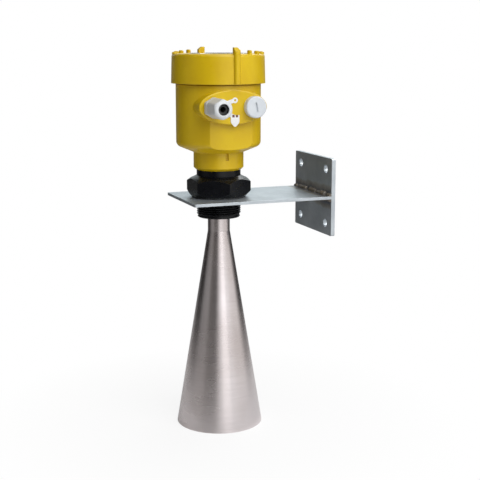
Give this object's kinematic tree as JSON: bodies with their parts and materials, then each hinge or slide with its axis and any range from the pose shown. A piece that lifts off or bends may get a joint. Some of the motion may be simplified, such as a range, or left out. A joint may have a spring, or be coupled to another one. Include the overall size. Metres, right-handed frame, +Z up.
{
  "type": "radar level transmitter",
  "caption": "Level transmitter with a screw-lid plastic housing, hexagonal pipe fitting and downward horn antenna, hung in a T-shaped steel wall bracket.",
  "frame": {"origin": "centre of the wall plate's back face", "axes": "+X out of the wall plate's back face into the wall, +Z up along the sensor's axis, cable entries facing -Y"},
  "size_m": [0.1677, 0.1314, 0.4144],
  "materials": {
    "plate_steel": "brushed stainless sheet",
    "weld_metal": "tinted weld bead",
    "horn_steel": "satin turned stainless",
    "black_plastic": "satin moulded",
    "yellow_plastic": "fine moulded texture, glossy",
    "grey_plastic": "satin moulded",
    "pale_plastic": "satin moulded",
    "tag_plastic": "smooth film",
    "seal_rubber": "matte",
    "feed_plastic": "waxy white",
    "brass": "turned",
    "gold_contact": "plated",
    "can_aluminium": "satin",
    "screw_steel": "zinc-plated",
    "module_plastic": "fine moulded texture",
    "terminal_plastic": "moulded",
    "board": "solder resist",
    "screen_glass": "dull display glass",
    "key_rubber": "soft",
    "clear_window": "clear polished plastic"
  },
  "bodies": {
    "bracket": {"bracket_arm": "plate_steel", "bracket_wall_plate": "plate_steel", "bracket_weld": "weld_metal", "process_seal": "seal_rubber", "process_fitting": "black_plastic", "swivel_seals": "seal_rubber", "retaining_ring": "screw_steel", "horn_antenna": "horn_steel", "antenna_seal": "seal_rubber", "feed_cone": "feed_plastic", "waveguide_tube": "brass", "microwave_module": "can_aluminium"},
    "housing": {"housing_body": "yellow_plastic", "gland_seal_ring": "seal_rubber", "gland_body": "grey_plastic", "gland_sleeve": "seal_rubber", "gland_tag": "tag_plastic", "electronics_module": "module_plastic", "module_screws": "screw_steel", "terminal_board": "board", "terminal_block": "terminal_plastic", "terminal_screws": "screw_steel", "earth_clamp": "brass", "earth_screw": "screw_steel", "contact_pins": "gold_contact", "display_base": "module_plastic", "display_board": "board", "display_screen": "screen_glass", "display_keys": "key_rubber", "display_case": "module_plastic"},
    "lid_lift": {"lid_seal": "seal_rubber"},
    "lid": {"lid": "yellow_plastic", "lid_window": "clear_window", "window_seal": "seal_rubber", "window_ring": "black_plastic"},
    "gland_clamp": {"gland_claw": "black_plastic"},
    "gland_nut": {"gland_cap_nut": "grey_plastic"},
    "plug_lift": {"plug_seal_ring": "seal_rubber"},
    "plug": {"blind_plug": "pale_plastic"}
  },
  "joints": [
    {"name": "housing_swivel", "type": "hinge", "parent": "bracket", "child": "housing", "pos_m": [-0.1175, 0, 0.0314], "axis": [0, 0, 1], "range_deg": [-165, 165]},
    {"name": "lid_rise", "type": "slide", "parent": "housing", "child": "lid_lift", "axis": [0, 0, 1], "range_m": [0, 0.009]},
    {"name": "lid_turn", "type": "hinge", "parent": "lid_lift", "child": "lid", "pos_m": [-0.1175, 0, 0.1236], "axis": [0, 0, 1], "range_deg": [0, 808]},
    {"name": "gland_clamp_slide", "type": "slide", "parent": "housing", "child": "gland_clamp", "axis": [0, -1, 0], "range_m": [0, 0.0105]},
    {"name": "gland_nut_turn", "type": "hinge", "parent": "gland_clamp", "child": "gland_nut", "pos_m": [-0.1401, -0.046, 0.1004], "axis": [0, -1, 0], "range_deg": [0, 2515]},
    {"name": "plug_slide", "type": "slide", "parent": "housing", "child": "plug_lift", "axis": [0, -1, 0], "range_m": [0, 0.009]},
    {"name": "plug_turn", "type": "hinge", "parent": "plug_lift", "child": "plug", "pos_m": [-0.0949, -0.046, 0.1004], "axis": [0, -1, 0], "range_deg": [0, 2155]}
  ],
  "couplings": [
    {"joint": "lid_rise", "follows": "lid_turn", "m_per_rad": 0.00063662},
    {"joint": "gland_clamp_slide", "follows": "gland_nut_turn", "m_per_rad": 0.00023873},
    {"joint": "plug_slide", "follows": "plug_turn", "m_per_rad": 0.00023873}
  ]
}
